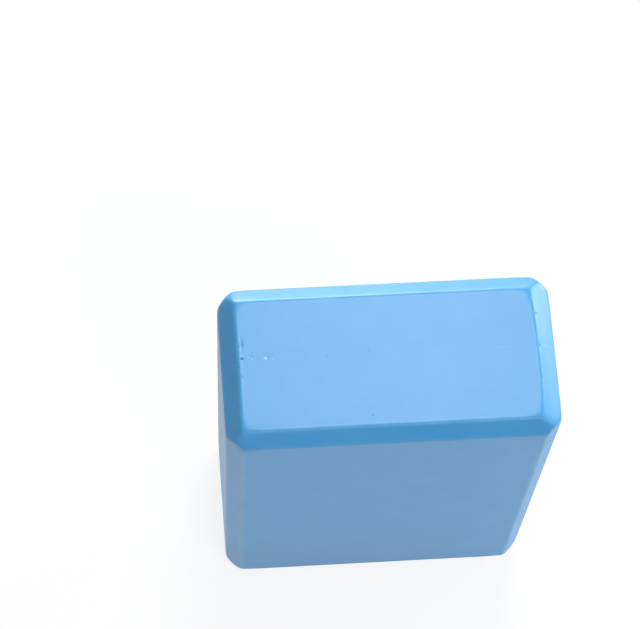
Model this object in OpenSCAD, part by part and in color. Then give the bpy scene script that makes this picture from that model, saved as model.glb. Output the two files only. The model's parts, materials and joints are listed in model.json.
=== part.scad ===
// Exercise block of closed-cell foam: one solid brick with every edge bevelled at 45 degrees.
// It stands on one end, with its broad faces to the front and back.
// Origin: centre of the end it stands on. X runs across the width, Y through the thickness, Z up the length.

/* [Block] */
// Length of the block, which is its height as it stands
block_length = 228.6; // [150:0.1:320]
// Width of the two broad faces
block_width = 152.4; // [90:0.1:220]
// Thickness from broad face to broad face
block_thickness = 76.2; // [45:0.1:130]

/* [Edges] */
// How far each bevel is set back from the edge it takes off
bevel_leg = 7.2; // [3:0.1:14]
// Radius of the soft arris on both sides of each bevel
arris_radius = 2; // [0.4:0.1:3]

/* [Hidden] */

foam_colour = "#8CC6F5";
bevel_turn = 45;                                      // angle from a face to its bevel
arris_run = arris_radius * tan(bevel_turn / 2);       // from an arris to where its curve starts
arris_facets = 48;

// Centres of the eight soft arrises of a bevelled rectangle, anticlockwise from its right side
function arris_centres(across, up) =
    let (side = across / 2 - arris_radius,
         end = up / 2 - arris_radius,
         flat_x = across / 2 - bevel_leg - arris_run,
         flat_y = up / 2 - bevel_leg - arris_run)
    [[side, flat_y], [flat_x, end], [-flat_x, end], [-side, flat_y],
     [-side, -flat_y], [-flat_x, -end], [flat_x, -end], [side, -flat_y]];

// Where the straight runs of the outline meet those arrises, two points at each
function arris_ends(centres) = [
    for (i = [0 : len(centres) - 1], turn = [i, i + 1])
        centres[i] + arris_radius * [cos(bevel_turn * turn), sin(bevel_turn * turn)]
];

// Rectangle with its corners bevelled and each arris softened
module bevelled_outline(across, up) {
    centres = arris_centres(across, up);
    polygon(arris_ends(centres));
    for (centre = centres)
        translate(centre) circle(r = arris_radius, $fn = arris_facets);
}

// Bar of that outline, centred, as long as the block is in that direction
module bevelled_bar(across, up, long) {
    linear_extrude(height = long, center = true) bevelled_outline(across, up);
}

// The block is what three such bars have in common, so its bevels meet in mitred corners
module foam_block() {
    color(foam_colour)
        translate([0, 0, block_length / 2])
            intersection() {
                bevelled_bar(block_width, block_thickness, block_length);
                rotate([90, 0, 0]) bevelled_bar(block_width, block_length, block_thickness);
                rotate([90, 0, 90]) bevelled_bar(block_thickness, block_length, block_width);
            }
}

foam_block();
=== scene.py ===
"""Foam exercise block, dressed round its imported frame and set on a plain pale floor.

The block is one piece: a brick of closed-cell foam with every edge bevelled. Its arrises are soft, its
corners are rubbed round, a faint joint line runs round its narrow sides, and a few nicks and pits
mark its upper end.
"""
import json
import math
from itertools import combinations, product

import bmesh
import bpy
from mathutils import Matrix, Vector, noise

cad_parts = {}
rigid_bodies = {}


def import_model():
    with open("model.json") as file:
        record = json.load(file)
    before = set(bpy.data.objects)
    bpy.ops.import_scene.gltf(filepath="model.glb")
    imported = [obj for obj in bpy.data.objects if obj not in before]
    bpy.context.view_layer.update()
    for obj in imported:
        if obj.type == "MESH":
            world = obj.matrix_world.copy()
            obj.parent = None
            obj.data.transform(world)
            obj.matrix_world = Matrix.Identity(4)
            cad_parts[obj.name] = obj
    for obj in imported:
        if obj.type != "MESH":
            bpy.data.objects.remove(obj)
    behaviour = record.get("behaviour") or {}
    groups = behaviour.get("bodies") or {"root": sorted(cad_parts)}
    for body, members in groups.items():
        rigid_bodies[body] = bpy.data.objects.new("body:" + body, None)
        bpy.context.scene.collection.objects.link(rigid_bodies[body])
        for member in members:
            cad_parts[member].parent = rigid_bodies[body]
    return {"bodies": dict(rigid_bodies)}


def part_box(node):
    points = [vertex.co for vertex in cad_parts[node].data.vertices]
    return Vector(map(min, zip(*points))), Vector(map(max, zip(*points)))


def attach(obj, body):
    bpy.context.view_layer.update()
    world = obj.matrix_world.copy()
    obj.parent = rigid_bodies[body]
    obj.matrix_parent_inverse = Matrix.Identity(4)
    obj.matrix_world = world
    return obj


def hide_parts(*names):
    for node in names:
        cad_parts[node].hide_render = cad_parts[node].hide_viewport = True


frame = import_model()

bl_info = {
    "name": "Foam Block",
    "version": (1, 0, 0),
    "blender": (4, 5, 0),
    "location": "3D View > Sidebar > Foam Block",
    "description": "Makes a bevelled foam exercise block and a plain stage for it",
    "category": "Add Mesh",
}

MM = 0.001
NODE = "foam_block"
BODY = next(iter(frame["bodies"]))
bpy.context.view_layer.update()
BLOCK_LOW, BLOCK_HIGH = (Vector(corner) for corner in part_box(NODE))
BLOCK_CENTRE = (BLOCK_LOW + BLOCK_HIGH) / 2
BLOCK_HALF = (BLOCK_HIGH - BLOCK_LOW) / 2

# Blemishes of the upper end: X and Y of the middle, length along X, width along Y and depth, all in mm,
# and how strongly it is painted paler, a painted highlight for the light its torn cells catch, from 0 to 1
BLEMISHES = {
    "dent beside the left arris": (-66.2, 9.6, 2.2, 6.4, 0.16, 0.1),
    "nick beside the left arris": (-66.3, 2.7, 2.2, 1.1, 0.50, 0.0),
    "first prick": (-62.8, 3.3, 1.0, 0.8, 0.04, 0.4),
    "second prick": (-61.5, 2.5, 1.2, 0.9, 0.05, 0.5),
    "third prick": (-60.3, 2.6, 1.0, 0.9, 0.04, 0.45),
    "torn pit": (-55.5, 2.6, 1.9, 1.7, 0.07, 0.9),
    "far edge of the torn pit": (-54.3, 3.1, 1.0, 1.1, 0.35, 0.0),
    "prick beyond the pit": (-52.2, 2.2, 1.5, 1.0, 0.03, 0.2),
    "scratch by the right arris": (52.3, 2.2, 11.0, 0.9, 0.04, 0.05),
    "upper nick in the left arris": (-67.9, 8.4, 1.3, 1.6, 0.35, 0.0),
    "flake in the left arris": (-69.1, 0.5, 1.6, 1.6, 0.10, 0.12),
    "lower nick in the left arris": (-68.2, -1.2, 1.4, 1.6, 0.35, 0.0),
    "speck beside the left arris": (-66.9, -5.7, 1.1, 1.6, 0.12, 0.0),
    "upper notch in the right arris": (67.6, 17.5, 1.2, 1.6, 0.22, 0.0),
    "middle notch in the right arris": (68.0, 2.2, 1.2, 1.6, 0.25, 0.0),
    "lower notch in the right arris": (67.8, -13.4, 1.2, 1.4, 0.18, 0.0),
    "speck at the front arris": (-9.5, -26.8, 1.6, 0.9, 0.08, 0.0),
    "speck left of the middle": (-28.0, 1.9, 1.2, 1.2, 0.07, 0.0),
    "speck at the middle": (-9.1, 3.1, 1.2, 1.2, 0.07, 0.0),
    "speck right of the middle": (34.2, -18.2, 1.3, 1.3, 0.06, 0.0),
}


def linear_colour(hex_code):
    """An sRGB colour such as "#8CC6F5" as linear red, green and blue."""
    values = [int(hex_code[i:i + 2], 16) / 255 for i in (1, 3, 5)]
    return [v / 12.92 if v <= 0.04045 else ((v + 0.055) / 1.055) ** 2.4 for v in values]


# Settings that a user would change

class FoamBlockShape(bpy.types.PropertyGroup):
    """Form of the block, beyond the overall sizes that its frame gives"""
    bevel_leg: bpy.props.FloatProperty(
        name="Bevel", description="How far each bevel is set back from the edge it takes off",
        default=7.2 * MM, unit="LENGTH", precision=4)
    arris_radius: bpy.props.FloatProperty(
        name="Arris radius", description="Radius that softens each arris beside a bevel",
        default=2 * MM, unit="LENGTH", precision=4)
    corner_radius: bpy.props.FloatProperty(
        name="Corner radius", description="Radius to which the arrises are rubbed where they meet",
        default=5 * MM, unit="LENGTH", precision=4)
    left_growth: bpy.props.FloatVectorProperty(
        name="Left growth",
        description="Extra width of the left bevel of an end, at its middle and its corners",
        default=(-0.7 * MM, -0.2 * MM), unit="LENGTH", size=2, precision=4)
    right_growth: bpy.props.FloatVectorProperty(
        name="Right growth",
        description="Extra width of the right bevel of an end, at its middle and its corners",
        default=(1 * MM, 2.2 * MM), unit="LENGTH", size=2, precision=4)
    end_shift: bpy.props.FloatProperty(
        name="End shift",
        description="How far towards the front the milling left the flat of the upper end",
        default=0.88 * MM, unit="LENGTH", precision=4)
    side_bevel_drop: bpy.props.FloatProperty(
        name="Side bevel drop",
        description="How much further the left bevel of the upper end runs down the side",
        default=2.4 * MM, unit="LENGTH", precision=4)
    skew: bpy.props.FloatProperty(
        name="Skew", description="How far each short side leans in at one of its upright edges",
        default=1 * MM, unit="LENGTH", precision=4)
    unevenness: bpy.props.FloatProperty(
        name="Unevenness", description="Depth of the gentle hollows that sawing and milling leave",
        default=0.12 * MM, unit="LENGTH", precision=5)
    joint_offset: bpy.props.FloatProperty(
        name="Joint line offset",
        description="How far behind the middle of the thickness the joint line runs",
        default=3 * MM, unit="LENGTH", precision=4)
    joint_depth: bpy.props.FloatProperty(
        name="Joint line depth", description="Depth of the joint line where it shows most",
        default=0.06 * MM, unit="LENGTH", precision=5)
    fine_step: bpy.props.FloatProperty(
        name="Fine mesh step", description="Spacing of the mesh lines beside the edges",
        default=1.2 * MM, unit="LENGTH", precision=4)
    wide_step: bpy.props.FloatProperty(
        name="Wide mesh step", description="Spacing of the mesh lines across the middle of each face",
        default=3 * MM, unit="LENGTH", precision=4)


class FoamBlockFinish(bpy.types.PropertyGroup):
    """Colour and surface of the foam"""
    foam_colour: bpy.props.FloatVectorProperty(
        name="Foam colour", description="Body colour of the foam", subtype="COLOR", size=3,
        default=linear_colour("#45AAED"), min=0, max=1)
    deep_colour: bpy.props.FloatVectorProperty(
        name="Deep colour", description="Colour of the slightly denser foam that dapples the surface",
        subtype="COLOR", size=3, default=linear_colour("#40A6EA"), min=0, max=1)
    # Paler colour along the arrises: partly rubbing wear, partly painted highlight
    wear_and_highlight_colour: bpy.props.FloatVectorProperty(
        name="Wear and highlight colour", description="Colour of the foam where an arris has been rubbed",
        subtype="COLOR", size=3, default=linear_colour("#6ABBEF"), min=0, max=1)
    # Paler colour in the pits and pricks: painted highlight for the light their torn cells catch
    pit_highlight_colour: bpy.props.FloatVectorProperty(
        name="Pit highlight colour", description="Colour of cells that are torn open, which scatter the light",
        subtype="COLOR", size=3, default=linear_colour("#A4E0FF"), min=0, max=1)
    cell_size: bpy.props.FloatProperty(
        name="Cell size", description="Width at which the foam cells are drawn",
        default=0.8 * MM, unit="LENGTH", precision=5)
    cell_relief: bpy.props.FloatProperty(
        name="Cell relief", description="Height of the cut cell walls above the cells",
        default=0.02 * MM, unit="LENGTH", precision=5)
    dapple_size: bpy.props.FloatProperty(
        name="Dapple size", description="Width of the denser and lighter patches of the foam",
        default=14 * MM, unit="LENGTH", precision=4)


class FoamBlockStage(bpy.types.PropertyGroup):
    """Floor, lamps and camera"""
    floor_colour: bpy.props.FloatVectorProperty(
        name="Floor colour", description="Colour of the floor", subtype="COLOR", size=3,
        default=linear_colour("#F4F4F4"), min=0, max=1)
    floor_size: bpy.props.FloatProperty(
        name="Floor size", description="Width of the floor", default=8, unit="LENGTH")
    sky_strength: bpy.props.FloatProperty(
        name="Sky strength", description="Strength of the even light from all round", default=0.06, min=0)
    lamp_power: bpy.props.FloatProperty(
        name="Lamp power", description="Factor on the power of every lamp", default=1, min=0)
    focal_length: bpy.props.FloatProperty(
        name="Focal length", description="Focal length of the lens on a 36 mm wide sensor, in millimetres",
        default=151.908, min=20, max=400)
    camera_distance: bpy.props.FloatProperty(
        name="Camera distance", description="From the camera to the point it aims at",
        default=1316.722 * MM, unit="LENGTH")
    camera_aim: bpy.props.FloatVectorProperty(
        name="Camera aim", description="Point that the camera aims at", subtype="TRANSLATION", size=3,
        default=(-24.774 * MM, 55.399 * MM, 133.99 * MM))
    camera_azimuth: bpy.props.FloatProperty(
        name="Camera azimuth", description="How far the camera stands round to the left of the front",
        default=math.radians(8.747), subtype="ANGLE")
    camera_elevation: bpy.props.FloatProperty(
        name="Camera elevation", description="How steeply the camera looks down",
        default=math.radians(70.289), subtype="ANGLE")
    camera_roll: bpy.props.FloatProperty(
        name="Camera roll", description="Turn of the camera about its own line of sight",
        default=math.radians(5.446), subtype="ANGLE")


# The block

# Mesh lines: the band of close ones beside each edge, the spacing of those that carry the joint
# line, and how near to a line a point is taken to lie on it
FINE_BAND = 14 * MM
JOINT_LINE_STEP = 0.3 * MM
ON_LINE = 0.05 * MM

# A soft maximum of plane distances rounds a 135 degree arris to about this many times its softness
RADIUS_PER_SOFTNESS = 9
# Rubbing is full within the first distance of a corner and fades out over the second
CORNER_CORE = 5 * MM
CORNER_FADE = 9 * MM
# Nearness to an arris, which pales the colour there as rubbing wear and painted highlight, is full within
# the first distance of an arris and fades out over the second
ARRIS_NEARNESS_CORE = 0.1 * MM
ARRIS_NEARNESS_FADE = 1.3 * MM

# How far past the bevels of an end their moves fade out: in across the end, and down the side
SIDE_REACH = 14 * MM
DROP_REACH = 25 * MM

# Widths of the broad and the short hollows, and the height over which they grow from the lower end
BROAD_HOLLOW = 24 * MM
SHORT_HOLLOW = 7 * MM
HOLLOW_RISE = 12 * MM

# Half the width of the joint line, and the length over which it comes and goes
JOINT_LINE_HALF = 0.6 * MM
JOINT_LINE_WAVE = 16 * MM

# In mm, as in BLEMISHES: how far past a blemish the mesh is refined, and the length that makes it long
BLEMISH_MARGIN = 1.2
LONG_BLEMISH = 5
# How fine the mesh gets in a short and in a long blemish, and how far from the end face one may reach
SHORT_BLEMISH_MESH = 0.22 * MM
LONG_BLEMISH_MESH = 0.4 * MM
BLEMISH_BAND = 2 * MM


def bevel_planes(half, leg):
    """Outward normal and distance from the centre of the three faces and three bevels at one corner."""
    planes = []
    for axis in range(3):
        face = Vector()
        face[axis] = 1
        planes.append((face, half[axis]))
    for across, up in combinations(range(3), 2):
        bevel = Vector()
        bevel[across] = bevel[up] = math.sqrt(0.5)
        planes.append((bevel, math.sqrt(0.5) * (half[across] + half[up] - leg)))
    return planes


def cut_bevels(bm, half, leg):
    """Take all twelve edges off a brick at 45 degrees, and close each cut with a flat face."""
    for across, up in combinations(range(3), 2):
        for side, end in product((-1, 1), repeat=2):
            outward = Vector()
            outward[across], outward[up] = side, end
            on_cut = Vector()
            on_cut[across], on_cut[up] = side * half[across], end * (half[up] - leg)
            cut = bmesh.ops.bisect_plane(
                bm, geom=bm.verts[:] + bm.edges[:] + bm.faces[:], dist=1e-7,
                plane_co=on_cut, plane_no=outward, clear_outer=True)
            rim = [part for part in cut["geom_cut"] if isinstance(part, bmesh.types.BMEdge)]
            bmesh.ops.edgeloop_fill(bm, edges=rim)


def soften_arrises(bm, radius):
    """Round every edge. The faces beside a bevel meet at 135 degrees, which sets the offset."""
    bmesh.ops.bevel(
        bm, geom=bm.edges[:], offset=radius * math.tan(math.radians(22.5)), offset_type="OFFSET",
        segments=4, profile=0.5, affect="EDGES", material=-1)


def line_places(half, fine, wide):
    """Places of mesh lines along one axis: close together beside both ends, wider across the middle."""
    near = round(FINE_BAND / fine)
    middle = half - near * fine
    spans = math.ceil(2 * middle / wide)
    places = [middle * (2 * i / spans - 1) for i in range(spans + 1)]
    for i in range(1, near):
        places += [middle + i * fine, -middle - i * fine]
    return places


def rule_mesh(bm, half, shape):
    """Cross the surface with mesh lines along X, Y and Z, so that it can be shaped."""
    for axis in range(3):
        places = line_places(half[axis], shape.fine_step, shape.wide_step)
        if axis == 1:
            # Close lines along the joint, to carry its crease
            places += [shape.joint_offset + i * JOINT_LINE_STEP for i in range(-2, 3)]
        normal = Vector()
        normal[axis] = 1
        for place in places:
            bmesh.ops.bisect_plane(
                bm, geom=bm.verts[:] + bm.edges[:] + bm.faces[:], dist=ON_LINE,
                plane_co=normal * place, plane_no=normal)


def refine_round(bm, middle, reach, size):
    """Split the edges within reach of a point until none of them is longer than size."""
    for _ in range(5):
        long_edges = []
        for edge in bm.edges:
            edge_middle = (edge.verts[0].co + edge.verts[1].co) / 2
            if edge.calc_length() > size and (edge_middle - middle).length < reach:
                long_edges.append(edge)
        if not long_edges:
            break
        bmesh.ops.subdivide_edges(bm, edges=long_edges, cuts=1, use_grid_fill=True)
    # A point that only two edges meet at would leave folded faces when the mesh is cut into triangles
    loose = [vert for vert in bm.verts if len(vert.link_edges) == 2]
    bmesh.ops.dissolve_verts(bm, verts=loose)


def rub_corners(bm, half, shape):
    """Round the arrises further where they meet, as handling does to the eight corners."""
    planes = bevel_planes(half, shape.bevel_leg)
    soft = shape.arris_radius / RADIUS_PER_SOFTNESS
    rubbed = shape.corner_radius / RADIUS_PER_SOFTNESS
    corner = Vector(half) - Vector((0.6, 0.6, 0.6)) * shape.bevel_leg
    for vert in bm.verts:
        sign = Vector([math.copysign(1, c) for c in vert.co])
        place = vert.co * sign
        share = smooth_step(1 - ((place - corner).length - CORNER_CORE) / CORNER_FADE)
        if share == 0:
            continue
        softness = soft + (rubbed - soft) * share
        for _ in range(3):
            weights = [math.exp((normal.dot(place) - reach) / softness) for normal, reach in planes]
            total = sum(weights)
            slope = sum((normal * w for (normal, _), w in zip(planes, weights)), Vector()) / total
            step = min(share * 4, 1) * softness * math.log(total) / slope.length_squared
            place = place - slope * step
        vert.co = place * sign


def smooth_step(value):
    """0 up to 0, 1 from 1 on, and a smooth rise between."""
    value = min(max(value, 0), 1)
    return value * value * (3 - 2 * value)


def widen_end_bevels(bm, half, shape):
    """Give the short bevels of both ends their own widths, wider at the corners, so their arrises bow."""
    inner = half.x - shape.bevel_leg
    for vert in bm.verts:
        end = smooth_step((abs(vert.co.z) - half.z + shape.bevel_leg) / shape.bevel_leg)
        side = smooth_step((abs(vert.co.x) - inner + SIDE_REACH) / SIDE_REACH)
        along = min(abs(vert.co.y) / (half.y - shape.bevel_leg), 1)
        middle, corner = shape.right_growth if vert.co.x > 0 else shape.left_growth
        growth = middle + (corner - middle) * along ** 2
        vert.co.x -= math.copysign(growth * end * side, vert.co.x)


def shift_upper_end(bm, half, shape):
    """Move the flat of the upper end towards the front, so the front bevel is narrower than the back one."""
    for vert in bm.verts:
        rise = min(max((vert.co.z - half.z) / shape.bevel_leg + 1, 0), 1)
        vert.co.y -= shape.end_shift * rise


def drop_side_bevel(bm, half, shape):
    """Let the left bevel of the upper end run further down the side than it reaches in on top."""
    for vert in bm.verts:
        outward = min(max((-vert.co.x - half.x) / shape.bevel_leg + 1, 0), 1)
        upward = min(max((vert.co.z - half.z + shape.bevel_leg) / DROP_REACH + 1, 0), 1)
        vert.co.z -= shape.side_bevel_drop * outward * upward


def skew_section(bm, half, skew):
    """Lean the left side in at its front edge and the right side in at its back edge."""
    for vert in bm.verts:
        right = (vert.co.x / half.x + 1) / 2
        back = (vert.co.y / half.y + 1) / 2
        vert.co.x += skew * ((1 - right) * (1 - back) - right * back)


def mark_arris_nearness(bm, half, leg):
    """Give each vertex its nearness to an arris, from 0 to 1, for the material to read."""
    # The nearness also paints the foam paler along the arrises: rubbing wear and painted highlight
    arris_nearness = bm.verts.layers.float.new("arris_nearness")
    planes = bevel_planes(half, leg)
    for vert in bm.verts:
        place = Vector([abs(c) for c in vert.co])
        depths = sorted(reach - normal.dot(place) for normal, reach in planes)
        vert[arris_nearness] = smooth_step(1 - (depths[1] - ARRIS_NEARNESS_CORE) / ARRIS_NEARNESS_FADE)


def press_unevenness(bm, half, depth):
    """Sink the surface a little in soft hollows, except at the end that it stands on."""
    arris_nearness = bm.verts.layers.float["arris_nearness"]
    bm.normal_update()
    hollows = []
    for vert in bm.verts:
        broad = noise.noise(vert.co / BROAD_HOLLOW)
        short = noise.noise(vert.co / SHORT_HOLLOW + Vector((11, 5, 3)))
        rise = smooth_step((vert.co.z + half.z) / HOLLOW_RISE)
        share = 0.5 + 0.36 * broad + 0.12 * short + 0.3 * vert[arris_nearness] * short
        hollows.append(vert.normal * depth * rise * max(share, 0))
    for vert, hollow in zip(bm.verts, hollows):
        vert.co -= hollow


def press_joint_line(bm, shape):
    """Press the joint line into the four narrow sides. It comes and goes along its length."""
    bm.normal_update()
    for vert in bm.verts:
        across = abs(vert.co.y - shape.joint_offset) / JOINT_LINE_HALF
        if across < 1 and abs(vert.normal.y) < 0.5:
            show = 0.35 + 0.9 * noise.noise(vert.co / JOINT_LINE_WAVE + Vector((2, 0, 7)))
            vert.co -= vert.normal * shape.joint_depth * min(max(show, 0.05), 1) * (1 - across) ** 2


def sink_blemishes(bm, half):
    """Sink the nicks, pits and pricks of the upper end, each as a small bowl, and mark how much of each is
    painted paler, as painted highlight.
    """
    pit_highlight = bm.verts.layers.float.new("pit_highlight")
    for across, back, long, wide, depth, pit_highlight_share in BLEMISHES.values():
        middle = Vector((across * MM, back * MM, half.z))
        size = SHORT_BLEMISH_MESH if long < LONG_BLEMISH else LONG_BLEMISH_MESH
        refine_round(bm, middle, (long / 2 + BLEMISH_MARGIN) * MM, size)
        bm.normal_update()
        for vert in bm.verts:
            offset = vert.co - middle
            if abs(offset.z) > BLEMISH_BAND:
                continue
            reach = (offset.x / (long / 2 * MM)) ** 2 + (offset.y / (wide / 2 * MM)) ** 2
            if reach < 1:
                vert.co -= vert.normal * depth * MM * (1 - reach) ** 2
                vert[pit_highlight] = max(vert[pit_highlight], pit_highlight_share * smooth_step(2 - 2 * reach))


def make_block_mesh(shape):
    """The whole block as a bmesh, in its place."""
    bm = bmesh.new()
    bmesh.ops.create_cube(bm, size=2, matrix=Matrix.Diagonal((*BLOCK_HALF, 1)))
    cut_bevels(bm, BLOCK_HALF, shape.bevel_leg)
    soften_arrises(bm, shape.arris_radius)
    rule_mesh(bm, BLOCK_HALF, shape)
    bmesh.ops.recalc_face_normals(bm, faces=bm.faces)
    rub_corners(bm, BLOCK_HALF, shape)
    mark_arris_nearness(bm, BLOCK_HALF, shape.bevel_leg)
    widen_end_bevels(bm, BLOCK_HALF, shape)
    drop_side_bevel(bm, BLOCK_HALF, shape)
    shift_upper_end(bm, BLOCK_HALF, shape)
    skew_section(bm, BLOCK_HALF, shape.skew)
    press_unevenness(bm, BLOCK_HALF, shape.unevenness)
    press_joint_line(bm, shape)
    sink_blemishes(bm, BLOCK_HALF)
    bmesh.ops.translate(bm, verts=bm.verts, vec=BLOCK_CENTRE)
    return bm


# Materials

# The foam's gloss: a soft sheen, at the usual reflection of a plastic
FOAM_ROUGHNESS = 0.37
FOAM_IOR = 1.5
FOAM_REFLECTION = 0.5

# The paper as it shows: the share that shines evenly, and the share that the lamps light, which
# carries the shadow
PAPER_GLOW = 0.84
PAPER_LIT = 0.22


def add_node(tree, kind, inputs=(), **settings):
    """Add a shader node, set its settings, and fill its inputs with values or other nodes' outputs."""
    node = tree.nodes.new(kind)
    for name, value in settings.items():
        setattr(node, name, value)
    for name, value in dict(inputs).items():
        socket = node.inputs[name]
        if isinstance(value, bpy.types.NodeSocket):
            tree.links.new(value, socket)
        else:
            socket.default_value = value
    return node


def new_material(name):
    """An empty node material and its tree."""
    material = bpy.data.materials.new(name)
    material.use_nodes = True
    material.node_tree.nodes.clear()
    return material, material.node_tree


def closed_cell_eva_foam(finish):
    """Closed-cell EVA foam, sawn and milled: an even azure with a soft silky sheen and no grain.

    The cut cells give it a fine dull tooth, denser patches dapple it very slightly, it is paler along
    the arrises, as rubbing wear and painted highlight, and palest in its pits and pricks, a painted
    highlight for the light their torn cells catch.
    """
    material, tree = new_material("closed_cell_eva_foam")
    place = add_node(tree, "ShaderNodeTexCoord").outputs["Object"]
    # The cells of such foam are about 0.2 mm across, too fine to show, so they are drawn at 0.8 mm
    cells = add_node(tree, "ShaderNodeTexVoronoi", {"Vector": place, "Scale": 1 / finish.cell_size})
    dapple = add_node(tree, "ShaderNodeTexNoise", {
        "Vector": place, "Scale": 1 / finish.dapple_size, "Detail": 3, "Roughness": 0.6})
    arris_nearness = add_node(tree, "ShaderNodeAttribute", attribute_name="arris_nearness")
    patch = add_node(tree, "ShaderNodeMapRange", {
        "Value": dapple.outputs["Fac"], "From Min": 0.3, "From Max": 0.7})
    body = add_node(tree, "ShaderNodeMix", {
        "Factor": patch.outputs["Result"], 6: (*finish.deep_colour, 1), 7: (*finish.foam_colour, 1)},
        data_type="RGBA")
    # Paler along the arrises: partly rubbing wear, partly painted highlight
    wear_and_highlight_share = add_node(tree, "ShaderNodeMath", {0: arris_nearness.outputs["Fac"], 1: dapple.outputs["Fac"]},
                    operation="MULTIPLY")
    rubbed = add_node(tree, "ShaderNodeMix", {
        "Factor": wear_and_highlight_share.outputs["Value"], 6: body.outputs[2], 7: (*finish.wear_and_highlight_colour, 1)},
        data_type="RGBA")
    # Paler in the pits and pricks: painted highlight
    pit_highlight = add_node(tree, "ShaderNodeAttribute", attribute_name="pit_highlight")
    colour = add_node(tree, "ShaderNodeMix", {
        "Factor": pit_highlight.outputs["Fac"], 6: rubbed.outputs[2], 7: (*finish.pit_highlight_colour, 1)},
        data_type="RGBA")
    relief = add_node(tree, "ShaderNodeBump", {
        "Height": cells.outputs["Distance"], "Strength": 1, "Distance": finish.cell_relief})
    skin = add_node(tree, "ShaderNodeBsdfPrincipled", {
        "Base Color": colour.outputs[2], "Roughness": FOAM_ROUGHNESS, "IOR": FOAM_IOR,
        "Specular IOR Level": FOAM_REFLECTION, "Normal": relief.outputs["Normal"]})
    add_node(tree, "ShaderNodeOutputMaterial", {"Surface": skin.outputs["BSDF"]})
    return material


def shown_or_lit(tree, shown, lit):
    """Show one shader to the camera, to gloss and through glass, and let the other light the scene."""
    path = add_node(tree, "ShaderNodeLightPath")
    seen = add_node(tree, "ShaderNodeMath", {
        0: path.outputs["Is Camera Ray"], 1: path.outputs["Is Glossy Ray"]}, operation="MAXIMUM")
    seen = add_node(tree, "ShaderNodeMath", {
        0: seen.outputs["Value"], 1: path.outputs["Is Transmission Ray"]}, operation="MAXIMUM")
    mix = add_node(tree, "ShaderNodeMixShader", {0: seen.outputs["Value"], 1: lit, 2: shown})
    return mix.outputs["Shader"]


def glowing_paper(tree, glow, lit):
    """White paper of which one share shines evenly and the other is lit by the lamps."""
    even = add_node(tree, "ShaderNodeEmission", {"Color": (1, 1, 1, 1), "Strength": glow})
    thin = add_node(tree, "ShaderNodeBsdfDiffuse", {"Color": (lit, lit, lit, 1)})
    both = add_node(tree, "ShaderNodeAddShader", {0: even.outputs["Emission"], 1: thin.outputs["BSDF"]})
    return both.outputs["Shader"]


def matt_white_paper(stage):
    """Matt seamless paper, smooth and plain. It shows as white, with only a soft shadow on it."""
    material, tree = new_material("matt_white_paper")
    sheet = add_node(tree, "ShaderNodeBsdfDiffuse", {"Color": (*stage.floor_colour, 1)})
    even = glowing_paper(tree, PAPER_GLOW, PAPER_LIT)
    surface = shown_or_lit(tree, even, sheet.outputs["BSDF"])
    add_node(tree, "ShaderNodeOutputMaterial", {"Surface": surface})
    return material


# Stage

# X, Y, Z of each lamp from the block's middle, its width, and its power in watts
LAMPS = {
    "window": (0.173, 0.645, 1.885, 0.5, 16.2),
    "right_panel": (1.749, 0.930, 0.278, 0.8, 21.0),
    "back_panel": (-0.069, 1.979, 0.278, 0.8, 23.0),
    "front_fill": (0.695, -1.203, 1.439, 1.1, 11.8),
    "left_fill": (-0.469, -1.751, 0.845, 1.1, 2.6),
}


def lay_floor(scene, stage):
    """Lay the paper floor under the block."""
    bm = bmesh.new()
    bmesh.ops.create_grid(bm, x_segments=1, y_segments=1, size=stage.floor_size / 2)
    mesh = bpy.data.meshes.new("floor")
    bm.to_mesh(mesh)
    bm.free()
    mesh.materials.append(matt_white_paper(stage))
    floor = bpy.data.objects.new("floor", mesh)
    scene.collection.objects.link(floor)


def light_sky(scene, stage):
    """Surround the scene with an even white that lights it only a little."""
    world = bpy.data.worlds.new("studio")
    scene.world = world
    world.use_nodes = True
    tree = world.node_tree
    tree.nodes.clear()
    white = add_node(tree, "ShaderNodeBackground", {"Color": (1, 1, 1, 1), "Strength": 1})
    faint = add_node(tree, "ShaderNodeBackground", {"Color": (1, 1, 1, 1), "Strength": stage.sky_strength})
    surface = shown_or_lit(tree, white.outputs["Background"], faint.outputs["Background"])
    add_node(tree, "ShaderNodeOutputWorld", {"Surface": surface})


def hang_lamps(scene, stage):
    """Hang the soft round lamps, each turned to the middle of the block."""
    for name, (x, y, z, width, power) in LAMPS.items():
        light = bpy.data.lights.new(name, "AREA")
        light.shape = "DISK"
        light.size = width
        light.energy = power * stage.lamp_power
        lamp = bpy.data.objects.new(name, light)
        away = Vector((x, y, z))
        lamp.location = BLOCK_CENTRE + away
        lamp.rotation_euler = (-away).to_track_quat("-Z", "Y").to_euler()
        scene.collection.objects.link(lamp)


def place_camera(scene, stage):
    """Set the camera high in front of the block, a little to the left, looking down."""
    camera = bpy.data.cameras.new("camera")
    camera.sensor_width = 36
    camera.lens = stage.focal_length
    view = bpy.data.objects.new("camera", camera)
    turn = (Matrix.Rotation(-stage.camera_azimuth, 3, "Z")
            @ Matrix.Rotation(math.pi / 2 - stage.camera_elevation, 3, "X")
            @ Matrix.Rotation(stage.camera_roll, 3, "Z"))
    place = Vector(stage.camera_aim) + turn @ Vector((0, 0, stage.camera_distance))
    view.matrix_world = Matrix.Translation(place) @ turn.to_4x4()
    scene.collection.objects.link(view)
    scene.camera = view


# Operators and panel

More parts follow.
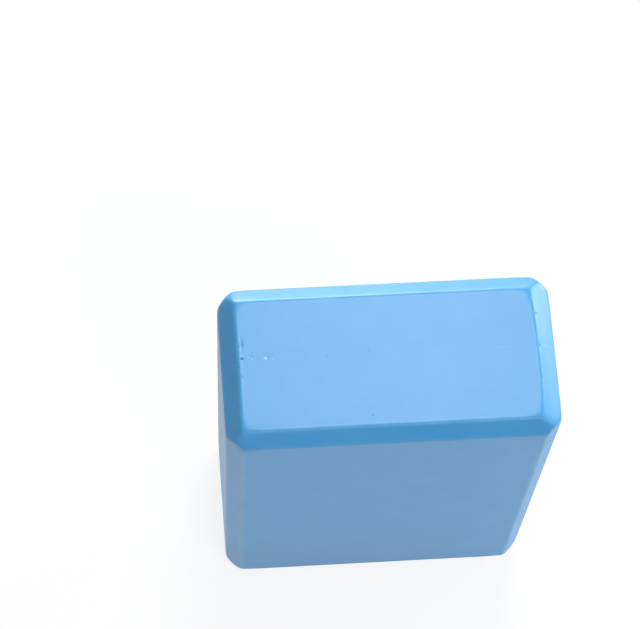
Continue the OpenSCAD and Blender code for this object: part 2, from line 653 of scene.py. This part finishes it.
class FOAMBLOCK_OT_make_block(bpy.types.Operator):
    """Make the bevelled foam block over its frame solid"""
    bl_idname = "foamblock.make_block"
    bl_label = "Make Block"
    bl_options = {"REGISTER", "UNDO"}

    def execute(self, context):
        bm = make_block_mesh(context.scene.foam_block_shape)
        mesh = bpy.data.meshes.new("bevelled_block")
        bm.to_mesh(mesh)
        bm.free()
        mesh.polygons.foreach_set("use_smooth", [True] * len(mesh.polygons))
        mesh.materials.append(closed_cell_eva_foam(context.scene.foam_block_finish))
        block = bpy.data.objects.new("bevelled_block", mesh)
        context.scene.collection.objects.link(block)
        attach(block, BODY)
        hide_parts(NODE)
        return {"FINISHED"}


class FOAMBLOCK_OT_set_stage(bpy.types.Operator):
    """Lay the floor and set the lamps and the camera"""
    bl_idname = "foamblock.set_stage"
    bl_label = "Set Stage"
    bl_options = {"REGISTER", "UNDO"}

    def execute(self, context):
        stage = context.scene.foam_block_stage
        lay_floor(context.scene, stage)
        light_sky(context.scene, stage)
        hang_lamps(context.scene, stage)
        place_camera(context.scene, stage)
        context.scene.view_settings.view_transform = "Standard"
        return {"FINISHED"}


class FOAMBLOCK_PT_sidebar(bpy.types.Panel):
    """Settings and makers of the foam block"""
    bl_idname = "FOAMBLOCK_PT_sidebar"
    bl_label = "Foam Block"
    bl_space_type = "VIEW_3D"
    bl_region_type = "UI"
    bl_category = "Foam Block"

    def draw(self, context):
        scene = context.scene
        for settings, operator in (
                ((scene.foam_block_shape, scene.foam_block_finish), FOAMBLOCK_OT_make_block),
                ((scene.foam_block_stage,), FOAMBLOCK_OT_set_stage)):
            box = self.layout.box()
            for group in settings:
                for name in group.__annotations__:
                    box.prop(group, name)
            box.operator(operator.bl_idname)


CLASSES = (
    FoamBlockShape,
    FoamBlockFinish,
    FoamBlockStage,
    FOAMBLOCK_OT_make_block,
    FOAMBLOCK_OT_set_stage,
    FOAMBLOCK_PT_sidebar,
)


def register():
    for cls in CLASSES:
        bpy.utils.register_class(cls)
    bpy.types.Scene.foam_block_shape = bpy.props.PointerProperty(type=FoamBlockShape)
    bpy.types.Scene.foam_block_finish = bpy.props.PointerProperty(type=FoamBlockFinish)
    bpy.types.Scene.foam_block_stage = bpy.props.PointerProperty(type=FoamBlockStage)


def unregister():
    del bpy.types.Scene.foam_block_stage
    del bpy.types.Scene.foam_block_finish
    del bpy.types.Scene.foam_block_shape
    for cls in reversed(CLASSES):
        bpy.utils.unregister_class(cls)


def main():
    """Make the block and its stage."""
    register()
    bpy.ops.foamblock.make_block()
    bpy.ops.foamblock.set_stage()


if __name__ == "__main__":
    main()
